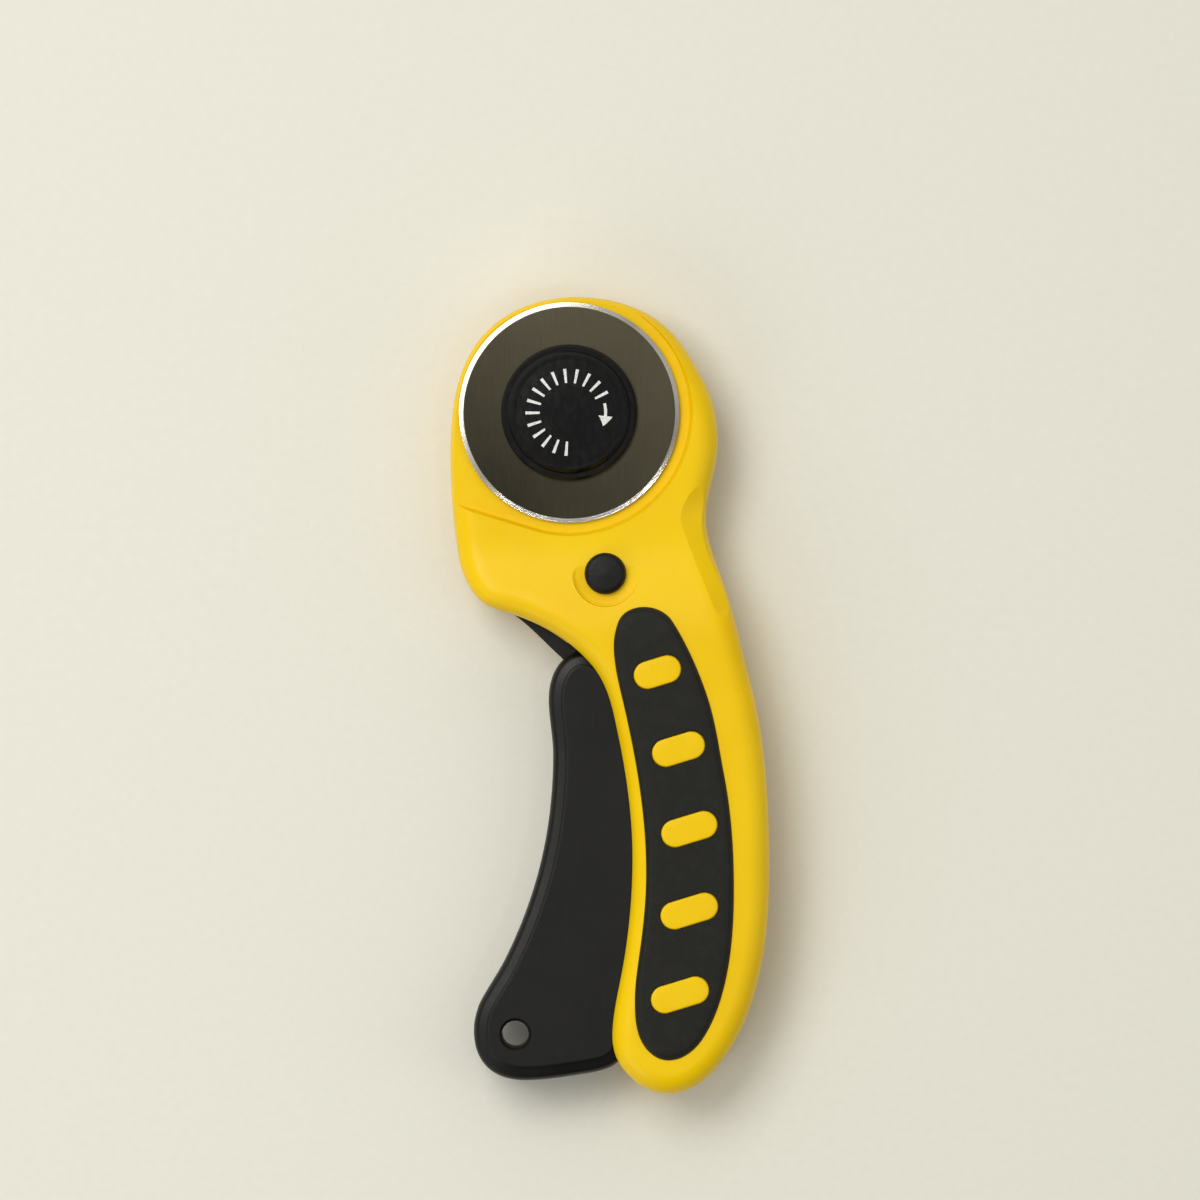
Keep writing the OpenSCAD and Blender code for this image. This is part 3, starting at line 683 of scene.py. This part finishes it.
# %% Posts, spring seat and peg
POST = 2.7
SPRING_LENGTH, SEAT, PEG, PEG_LENGTH, PEG_ROOT = 20, 4.4, 1.9, 2.6, 0.3
spring_start = (13.5, -91)
spring_angle = math.degrees(math.atan2(spring_start[1] - pivot[1], spring_start[0] - pivot[0])) + 90
spring_end = spring_start + SPRING_LENGTH * heading(spring_angle)
screw_names = [n for n in frame["nodes"] if n.startswith("screw_")]


def bosses():
    """The posts that take the screws, and the spring's seat."""
    posts = [drum(drawn(middle(n))[:2], POST, -12, 12, 48) for n in screw_names]
    return posts + [rod((*spring_end, 0), spring_angle, 20, SEAT)]


def half_peg(sign):
    """The half of the spring's peg that a shell carries, rooted a little inside the seat."""
    root = spring_end + PEG_ROOT * heading(spring_angle)
    peg = rod((*root, 0), spring_angle + 180, PEG_LENGTH + PEG_ROOT, PEG)
    return carve(peg, [bar(spring_end, 0, (-20, 20), (-20, 20), (0, -sign * 20))])


# %% Cutters that both shells share


def shared_cuts(sign):
    """The rooms, the mouths and the grip's recess; the sign is 1 for the front and -1 for the rear."""
    def span(outline, low, high):
        return slab(outline, *sorted((sign * low, sign * high)))

    inner = inset(body_outline, WALL)
    trigger_bay = carve(span(inner, -1, TRIGGER_ROOM), [span(below_head, -2, TRIGGER_ROOM + 1)], "INTERSECT")
    return [carve(span(inner, -1, ARM_ROOM), bosses()), span(arm_mouth, -1, ARM_ROOM),
            carve(trigger_bay, bosses()), span(mouth, -1, TRIGGER_ROOM),
            span(grip_outline, HANDLE - GRIP_RECESS, 14)]


def axle_slot(half_width, low, high):
    """The curved slot that the axle swings in."""
    return slab(arc_slot(pivot, axle_path, axle_angle, axle_angle + SWING, half_width), low, high)


def raised_pads(sign, face):
    """The five bars of the shell that show through the grip."""
    def top(x, y):
        return face(x, y) + GRIP_PROUD - PAD_LOWER

    return [moulding("bar", stadium(x, y, length, PAD_WIDTH, PAD_TILT), rounded(0.5, 6), top,
                     foot=HANDLE - GRIP_RECESS - PAD_ROOT, spacing=1.5, under=sign < 0)
            for x, y, length in pads]


# %% [markdown]
# ## The facet at the neck
# The front has a flat facet at the neck, where the side of the hand lies against it. It begins at a crisp
# crease, and runs out at both ends. A block is made whose underside is that facet, lifted clear of the shell
# at its ends, and it is cut away, because a crease comes out sharper from a cut than from moving the points
# of a net.

# %% Facet
CREASE_FROM, CREASE_TO = np.array([23.2, -23.2]), np.array([29.9, -40.2])
FACET_IN, FACET_REACH, FACET_FADE, FACET_SINK = 3, 9.0, 0.42, 0.08


def edge_drop(point):
    """How far the rounded edge has already fallen at a point."""
    gap = EDGE - np.min(np.linalg.norm(body_outline - point, axis=1))
    return EDGE - math.sqrt(EDGE**2 - gap**2) if 0 < gap < EDGE else 0


def neck_facet(rows=40):
    """The block to cut away: rows of four corners along the crease, steeper towards the handle."""
    run = CREASE_TO - CREASE_FROM
    across = np.array([-run[1], run[0]]) / np.linalg.norm(run)
    verts, faces = [], []
    for t in np.linspace(-FACET_FADE, 1 + FACET_FADE, rows):
        crease = CREASE_FROM + t * run
        beyond = max(0, -t, t - 1) / FACET_FADE
        slope = 0.4 + 0.5 * min(1, max(0, t))
        lift = 0.8 * slope * FACET_REACH * beyond**2
        height = front_face(*crease) - edge_drop(crease) - FACET_SINK + lift
        inner, outer = crease - FACET_IN * across, crease + FACET_REACH * across
        verts += [(*inner, height + FACET_IN * slope), (*outer, height - FACET_REACH * slope),
                  (*outer, 20), (*inner, 20)]
    for k in range(0, 4 * rows - 4, 4):
        faces += [(k + i, k + (i + 1) % 4, k + 4 + (i + 1) % 4, k + 4 + i) for i in range(4)]
    return make_object("cutter", verts, faces + [(0, 1, 2, 3), tuple(range(4 * rows - 4, 4 * rows))])


# %% [markdown]
# ## The front shell
# The blade lies in a shallow pocket that is round where the guard hides the edge, and open to the side where
# the blade comes out. Its wall leans outwards, more steeply at the foot, so it is built as a stack of
# outlines. A shallow dish round the lock button leaves room for a fingertip.

# %% Blade pocket and button dish
leaving = axle_angle + 90


def pocket_outline(r):
    away, side = BEYOND * heading(leaving), r * heading(leaving + 90)
    rim = arc((0, 0), r, leaving - 90, leaving - 270, 160)
    return np.concatenate([rim, [away + side], [away - side]])[::-1]


def pocket(r_floor, r_top, floor, top, steps=8, lean=1.6):
    """The blade's pocket, with a wall that leans outwards."""
    loops = [pocket_outline(r_floor + (r_top - r_floor) * (k / steps) ** lean) for k in range(steps + 1)]
    levels = [floor + (top - floor) * k / steps for k in range(steps + 1)]
    n = len(loops[0])
    verts = [(x, y, z) for loop, z in zip(loops, levels) for x, y in loop]
    faces = [tuple(range(n)), tuple(range(steps * n, (steps + 1) * n))]
    faces += [(k * n + i, k * n + (i + 1) % n, (k + 1) * n + (i + 1) % n, (k + 1) * n + i)
              for k in range(steps) for i in range(n)]
    return make_object("cutter", verts, faces)


def dish():
    """The shallow round dish in the face, with a soft rim."""
    level = front_face(*button)
    return turned([(0, level - 0.4), (5.4, level - 0.4), (6.1, level - 0.3), (6.7, level - 0.02),
                   (7.0, level + 3), (0, level + 3)], button)


# %% Front shell
SEAM, PIN_HOLE, SCREW_HOLE, SCREW_END = 0.16, 1.52, 1.22, 0.3
BUTTON_BORE, FIN_ROOM, FIN_CEILING = 4.25, 5.0, 4.0
FRONT_PIN_COVER, FRONT_SLOT = 1.5, 5.9
front = moulding("shell_front", body_outline, rounded(EDGE, 12), front_face, seam=SEAM)
screw_holes = [drum(drawn(middle(name))[:2], SCREW_HOLE, -1, drawn(corners(name)[1])[2] + SCREW_END, 48)
               for name in screw_names]
carve(front, shared_cuts(1) + screw_holes + [
    neck_facet(), pocket(r_floor=24.6, r_top=25.6, floor=4.0, top=6.6), dish(),
    drum(button, BUTTON_BORE, -1, 20), drum(button, FIN_ROOM, -1, FIN_CEILING),
    axle_slot(FRONT_SLOT, -1, 10), drum(pivot, PIN_HOLE, -1, HEAD_FRONT - FRONT_PIN_COVER)])
carve(front, raised_pads(1, front_face) + [half_peg(1)], "UNION")
smooth(front, 16)
print("front shell faces:", len(front.data.polygons))

# %% [markdown]
# ## The rear shell
# It is the same outline with a lower face. The screws are driven from this side, so each has a clear hole and
# a well for its head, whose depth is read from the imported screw. Inside is a post for the lock's clip.

# %% Rear shell
CLIP_REACH, CLIP_POST, WEB, CLIP_GAP = 8, 2.12, 1.2, 0.15
SCREW_CLEAR, SCREW_WELL, SCREW_HEAD = 1.35, 2.3, 1.6
BUTTON_GUIDE, REAR_SLOT, REAR_PIN_COVER = 3.45, 5.2, 1
rear = moulding("shell_rear", body_outline, rounded(EDGE, 12), rear_face, under=True, seam=SEAM)
wells = []
for name in screw_names:
    at, low = drawn(middle(name))[:2], drawn(corners(name)[0])[2]
    wells += [drum(at, SCREW_CLEAR, -20, 1), drum(at, SCREW_WELL, -20, low + SCREW_HEAD)]
carve(rear, shared_cuts(-1) + wells + [
    drum(button, BUTTON_GUIDE, -20, 1), axle_slot(REAR_SLOT, -10, 1),
    drum(pivot, PIN_HOLE, REAR_PIN_COVER - HEAD_REAR, 1)])
clip_post = drum(button + CLIP_REACH * heading(button_angle), CLIP_POST,
                 -ARM_ROOM - CLIP_GAP, -WEB - CLIP_GAP, 48)
carve(rear, raised_pads(-1, rear_face) + [half_peg(-1), clip_post], "UNION")
smooth(rear)
print("rear shell faces:", len(rear.data.polygons))

# %% [markdown]
# ## The soft grips
# Each grip is a tongue of rubber, standing a millimetre proud, with five windows. Its edge is rolled over, so
# it catches a thin line of light all round. It is one moulding cut by five bars a hair wider than the pads.

# %% Grips
GRIP_GAP, WINDOW_GAP, GRIP_EDGE = 0.06, 0.2, 1.3


def soft_grip(name, face, under):
    """One grip, front or rear, with a window round each pad."""
    def top(x, y):
        return face(x, y) + GRIP_PROUD

    grip = moulding(name, inset(grip_outline, GRIP_GAP), rounded(GRIP_EDGE, 8), top,
                    foot=HANDLE - GRIP_RECESS, spacing=1.5, under=under)
    low, high = (-14, -5) if under else (5, 14)
    windows = [slab(stadium(x, y, length + WINDOW_GAP, PAD_WIDTH + WINDOW_GAP, PAD_TILT), low, high)
               for x, y, length in pads]
    return smooth(carve(grip, windows))


front_soft = soft_grip("grip_front", front_face, False)
rear_soft = soft_grip("grip_rear", rear_face, True)

# %% [markdown]
# ## The trigger
# The trigger is a hooked lever with rounded edges and a fine ridge inside them, and below is the hole that it
# hangs by. Behind, it is a hollow channel with ribs, which swings into the handle. Its thin arm runs on into
# the head, and carries the axle. Two mirrored halves are swept and joined, then the channel is cut, and arm
# and hubs are added, so that it is one piece as the real moulding is.

# %% Trigger outlines
CHANNEL_OPEN, CHANNEL_WALL = 8, 2.2
finger_side = [
    (1.5, -49, 195), (-4.2, -58.5, 270), (-3.3, -70, 270), (-7.2, -97, 253), (-12.9, -111.4, 244),
    (-17.9, -120, 241), (-19.5, -126.5, 270), (-16.8, -133.8, 315), (-9, -136.5, 0), (3.6, -135.1, 9)]
handle_side = [
    (11, -131.5, 60), (14.2, -118, 84), (17.3, -95, 90), (15.2, -74, 100), (10.5, -56, 113), (6.5, -50, 150)]
trigger_outline = closed_curve(finger_side + handle_side)
opened_side = [(x + CHANNEL_OPEN, y, angle) for x, y, angle in handle_side]
channel_outline = inset(closed_curve(finger_side + opened_side), CHANNEL_WALL)
arm_outline = closed_curve([
    (0, 8, 180), (-8, 0, 270), (-14, -24, 264), (-15, -34.5, 273), (-11.2, -41.4, 325),
    (-1.8, -49.9, 318), (3, -55, 320), (9, -54, 60), (14.6, -38, 85), (14, -24, 97), (8, 0, 90)])
TRIGGER_HALF, ARM_HALF = 5.9, 2.2
HANG_HOLE, HANG_BOSS = 2.75, 5.1
hang_hole = (-11, -127)
ridge = [(2.5, 0.25), (2.58, 0.21), (2.78, 0.03), (2.88, 0.0), (3.3, 0.0)]
trigger_rings = [(d, drop + 0.42) for d, drop in rounded(2.2, 8, 1.5, 80)] + ridge

# %% Trigger body
RIBS, RIB, THROUGH = (-58, -72, -106, -118), 1.6, 9
REAR_HUB, REAR_HUB_LENGTH, FRONT_HUB, HUB_GAP = 4.8, 5.1, 5.5, 0.05


def half_trigger(name, under=False):
    def top(x, y):
        return TRIGGER_HALF

    return moulding(name, trigger_outline, trigger_rings, top, foot=-0.01, under=under)


def rib(y):
    return slab(np.array([[-40, y], [BEYOND, y], [BEYOND, y + RIB], [-40, y + RIB]], float), -THROUGH, THROUGH)


trigger = carve(half_trigger("trigger"), [half_trigger("half", under=True)], "UNION")
channel = slab(channel_outline, CHANNEL_WALL - TRIGGER_HALF, TRIGGER_HALF - CHANNEL_WALL)
spring_boss = rod((*spring_start, 0), spring_angle + 180, 30, SEAT)
carve(channel, [drum(hang_hole, HANG_BOSS, -5, 5), spring_boss] + [rib(y) for y in RIBS])
carve(trigger, [channel])
blade_back = drawn(corners("blade")[0])[2]
hubs = [drum((0, 0), REAR_HUB, -REAR_HUB_LENGTH, 0), drum((0, 0), FRONT_HUB, 0, blade_back - HUB_GAP)]
carve(trigger, [slab(arm_outline, -ARM_HALF, ARM_HALF)] + hubs, "UNION")

# %% [markdown]
# ## Holes and lock in the trigger
# The button's waist runs in a curved slot in the arm, and its fins drop into a pair of notches at each end of
# the swing. Round the slot the arm is thinned on both sides to a web, so that fins and clip have room. All
# the cuts are made at once, and the spring's peg is added after them.

# %% Trigger holes
PIN_BORE, AXLE_BORE, WAIST_SLOT, NOTCH_LENGTH, NOTCH_WIDTH, THINNED = 1.55, 2.52, 2.7, 4.9, 0.8, 7.0
LIP = [(0, 5.3), (2.7, 5.3), (3.35, 5.95), (3.35, 8), (0, 8)]
CLIP_ALONG, CLIP_ACROSS, CLIP_UP = (button_path - 2, button_path + 16), (-9, 5), 4.4
notch = (button_path - NOTCH_LENGTH, button_path + NOTCH_LENGTH)
squeezed = button_angle - SWING
waist = arc_slot(pivot, button_path, squeezed, button_angle, WAIST_SLOT)
thinned = arc_slot(pivot, button_path, squeezed, button_angle, THINNED)
cuts = [slab(waist, -THROUGH, THROUGH), drum(hang_hole, HANG_HOLE, -10, 10),
        drum(pivot, PIN_BORE, -THROUGH, THROUGH), drum((0, 0), AXLE_BORE, -THROUGH, THROUGH)]
for angle in (squeezed, button_angle):
    cuts.append(bar(pivot, angle, notch, (-NOTCH_WIDTH, NOTCH_WIDTH), (-THROUGH, THROUGH)))
for side in (1, -1):
    cuts.append(turned([(r, side * z) for r, z in LIP], hang_hole))
    cuts.append(bar(pivot, button_angle, CLIP_ALONG, CLIP_ACROSS, (side * WEB, side * CLIP_UP)))
    cuts.append(slab(thinned, *sorted((side * WEB, side * THROUGH))))
carve(trigger, cuts)
carve(trigger, [rod((*spring_start, 0), spring_angle, PEG_LENGTH, PEG)], "UNION")
smooth(trigger)
print("trigger faces:", len(trigger.data.polygons))

# %% [markdown]
# ## Marks on the cap
# The cap is printed with white marks in a ring. Here they are plain ones that say which way the blade turns:
# short bars that sweep round, and an arrow. They are thin skins of ink laid on the domed cover, so they catch
# light as print does, and stay sharp however near the eye comes.

# %% Printed marks
COVER_RADIUS, COVER_DOME, INK_HEIGHT = 10.9, 0.35, 0.03
cover_top = drawn(corners("cap_cover")[1])[2]


def on_cover(r, a):
    """A point on the domed cover."""
    return (*(r * heading(a)), cover_top - COVER_DOME * (r / COVER_RADIUS) ** 2)


def mark(r_in, r_out, start, end, taper=0.0):
    """A patch of ink between two radii and two angles; taper narrows it to a point."""
    n, verts, faces = 12, [], []
    for i in range(n + 1):
        t = i / n
        mid, half = (r_in + r_out) / 2, (r_out - r_in) / 2 * (1 - taper * t)
        for r in (mid - half, mid + half):
            for lift in (0.0, INK_HEIGHT):
                x, y, z = on_cover(r, start + (end - start) * t)
                verts.append((x, y, z + lift))
    for i in range(n):
        a, b = 4 * i, 4 * i + 4
        faces += [(a + 1, b + 1, b + 3, a + 3), (a, a + 2, b + 2, b)]
        faces += [(a, b, b + 1, a + 1), (a + 2, a + 3, b + 3, b + 2)]
    faces += [(0, 1, 3, 2), (4 * n, 4 * n + 2, 4 * n + 3, 4 * n + 1)]
    return verts, faces


verts, faces = [], []
bars = [mark(6.0, 8.9, a, a - 4.2) for a in range(268, 24, -17)]
bars += [mark(7.15, 7.75, 14, -6), mark(6.0, 8.9, -6, -22, 0.98)]
for points, patches in bars:
    faces += [[len(verts) + i for i in f] for f in patches]
    verts += points
marks = make_object("cap_marks", verts, faces)
print("printed marks:", len(bars))

# %% [markdown]
# ## Put the pieces together
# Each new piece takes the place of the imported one, rides on the same body, and gets its finish. The marks
# stand for nothing that was packed, so they only ride: they belong to the cap, which the trigger carries.

# %% Ride, replace, finish
for piece, node, body, slot, finish in (
        (front, "front_shell", "handle", "yellow_plastic", YELLOW),
        (rear, "rear_shell", "handle", "yellow_plastic", YELLOW),
        (front_soft, "front_grip", "handle", "soft_grip", RUBBER),
        (rear_soft, "rear_grip", "handle", "soft_grip", RUBBER),
        (trigger, "trigger_lever", "trigger", "black_plastic", BLACK)):
    piece.data.materials.clear()
    piece.data.materials.append(finish)
    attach(piece, body)
    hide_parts(node)
marks.data.materials.append(INK)
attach(marks, "trigger")

# %% [markdown]
# ## Floor
# The cutter lies on a plain pale sheet, big enough to fill the view from any side. It is drawn a hair below
# the lowest piece, so that no two faces fight for the same place.

# %% Floor
FLOOR, HALF = packed_box[0][2] - 0.0001, 3
floor_mesh = bpy.data.meshes.new("floor")
ends = ((-HALF, -HALF), (HALF, -HALF), (HALF, HALF), (-HALF, HALF))
floor_mesh.from_pydata([(x, y, FLOOR) for x, y in ends], [], [(0, 1, 2, 3)])
floor = bpy.data.objects.new("floor", floor_mesh)
bpy.context.scene.collection.objects.link(floor)
paper = Finish("floor_paper")
fibre = paper.noise(0.6, 5)
floor_mesh.materials.append(paper.set(
    Base_Color=paper.blend(fibre, colour(232, 230, 216), colour(238, 236, 224)), Roughness=0.75,
    Normal=paper.bump(fibre, 0.03)))

# %% [markdown]
# ## Light
# One big soft light stands up and to the left, a tall one fills from the right, and another lifts the lower
# left. Two small lamps high above put short glints on the bevel and the rounded edges. A dim sky, brighter
# towards the top of the view, keeps the shadows open. Area lamps are used for all, because a glossy surface
# shows the shape of what lights it, and a point would show as a dot.

# %% Lamps


def soft_light(name, position, size, power, tint=(1, 1, 1)):
    """A lamp that faces the middle of the part."""
    lamp = bpy.data.lights.new(name, "AREA")
    lamp.shape = "RECTANGLE"
    lamp.size, lamp.size_y = size
    lamp.energy = power
    lamp.color = tint
    holder = bpy.data.objects.new(name, lamp)
    holder.location = position
    holder.rotation_euler = (Vector((0, 0, 0)) - Vector(position)).to_track_quat("-Z", "Y").to_euler()
    bpy.context.scene.collection.objects.link(holder)


soft_light("key", (-0.4, 0.38, 0.95), (0.7, 0.5), 5.7, (1, 0.985, 0.95))
soft_light("fill", (0.8, -0.1, 0.6), (0.5, 1.0), 1.2)
soft_light("low", (-0.6, -0.6, 0.5), (0.6, 0.6), 1.9)
soft_light("glint_right", (0.36, -0.26, 1.5), (0.07, 0.07), 0.5)
soft_light("glint_left", (-0.3, -0.34, 1.5), (0.06, 0.06), 0.3)

# %% Sky
world = bpy.data.worlds.new("soft_sky")
world.use_nodes = True
sky = world.node_tree
across = sky.nodes.new("ShaderNodeTexCoord")
lean = sky.nodes.new("ShaderNodeVectorMath")
lean.operation = "DOT_PRODUCT"
lean.inputs[1].default_value = (-0.3, 0.75, 0.59)
sky.links.new(across.outputs["Generated"], lean.inputs[0])
glow = sky.nodes.new("ShaderNodeValToRGB")
dim, bright = glow.color_ramp.elements
dim.position, dim.color = 0.0, (0.22, 0.23, 0.25, 1)
bright.position, bright.color = 0.9, (1.35, 1.33, 1.28, 1)
sky.links.new(lean.outputs["Value"], glow.inputs[0])
sky.links.new(glow.outputs[0], sky.nodes["Background"].inputs[0])
sky.nodes["Background"].inputs[1].default_value = 0.5
bpy.context.scene.world = world
bpy.context.scene.view_settings.view_transform = "Standard"

# %% [markdown]
# ## Camera
# The cutter is seen from straight above. A long lens from far away keeps its sides from showing, and the
# width of the view, with the distance, gives the focal length.

# %% Camera
FIELD, FAR, SENSOR = 0.2452, 2.0, 36
centre = place(6.3, -38.3, 5)
lens = bpy.data.cameras.new("camera")
lens.sensor_width = SENSOR
lens.lens = SENSOR * FAR / FIELD
camera = bpy.data.objects.new("camera", lens)
camera.location = (centre.x, centre.y, centre.z + FAR)
bpy.context.scene.collection.objects.link(camera)
bpy.context.scene.camera = camera
